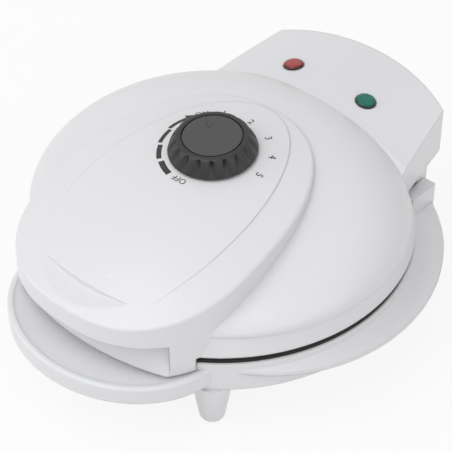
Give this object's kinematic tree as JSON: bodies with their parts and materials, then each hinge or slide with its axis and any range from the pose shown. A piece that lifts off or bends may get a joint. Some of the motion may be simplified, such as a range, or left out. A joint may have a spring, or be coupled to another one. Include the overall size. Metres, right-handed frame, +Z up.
{
  "type": "heart waffle maker",
  "caption": "Round countertop waffle maker with a hinged domed lid, raised oval handle end, control knob, signal lamps, heart-shaped moulds and cone feet.",
  "frame": {"origin": "on the table under the vertical axis of the round lid, midway between the front handle tip and the rear face", "axes": "+Z up, -Y towards the handle and the user, +Y towards the hinge, +X to the user's right when facing the appliance from the front"},
  "size_m": [0.2232, 0.254, 0.1109],
  "materials": {
    "white_plastic": "smooth glossy moulding",
    "pan_plastic": "satin moulding",
    "black_plate": "black non-stick coating",
    "steel": "zinc-plated",
    "heater_steel": "heat-darkened",
    "aluminium_sheet": "plain sheet",
    "ceramic_white": "unglazed",
    "fuse_metal": "plain",
    "black_rubber": "soft matte",
    "dark_plastic": "fine satin",
    "dark_cap": "fine satin",
    "red_lens": "clear-tinted, glossy",
    "green_lens": "clear-tinted, glossy",
    "lamp_glass": "clear",
    "board_green": "varnished"
  },
  "bodies": {
    "base": {"base_tray": "white_plastic", "base_pan": "pan_plastic", "foot_front_left": "white_plastic", "foot_front_right": "white_plastic", "foot_rear_left": "white_plastic", "foot_rear_right": "white_plastic", "foot_screws": "steel", "base_screws": "steel", "lower_plate": "black_plate", "lower_plate_screws": "steel", "lower_heater": "heater_steel", "lower_heater_clamps": "aluminium_sheet", "lower_reflector": "aluminium_sheet", "lower_reflector_screws": "steel", "terminal_block": "ceramic_white", "thermal_fuse": "fuse_metal", "cord_gland": "black_rubber", "hinge_pin_left": "steel", "hinge_pin_right": "steel"},
    "lid": {"lid_shell": "white_plastic", "upper_plate": "black_plate", "upper_plate_screws": "steel", "upper_heater": "heater_steel", "upper_heater_clamps": "aluminium_sheet", "upper_reflector": "aluminium_sheet", "upper_reflector_screws": "steel", "thermostat_body": "ceramic_white", "thermostat_bracket": "steel", "thermostat_sensor": "fuse_metal", "bracket_screws": "steel", "hinge_cover": "white_plastic", "cover_screws": "steel", "red_lens": "red_lens", "green_lens": "green_lens", "red_lamp": "lamp_glass", "green_lamp": "lamp_glass", "lamp_board": "board_green", "board_screws": "steel"},
    "control_knob": {"knob": "dark_plastic", "knob_cap": "dark_cap", "control_shaft": "steel"}
  },
  "joints": [
    {"name": "lid_hinge", "type": "hinge", "parent": "base", "child": "lid", "pos_m": [0, 0.094, 0.0458], "axis": [-1, 0, 0], "range_deg": [0, 100]},
    {"name": "knob_turn", "type": "hinge", "parent": "lid", "child": "control_knob", "pos_m": [0, -0.0063, 0.10013], "axis": [0, -0.0635, 0.998], "range_deg": [-144, 126]}
  ]
}
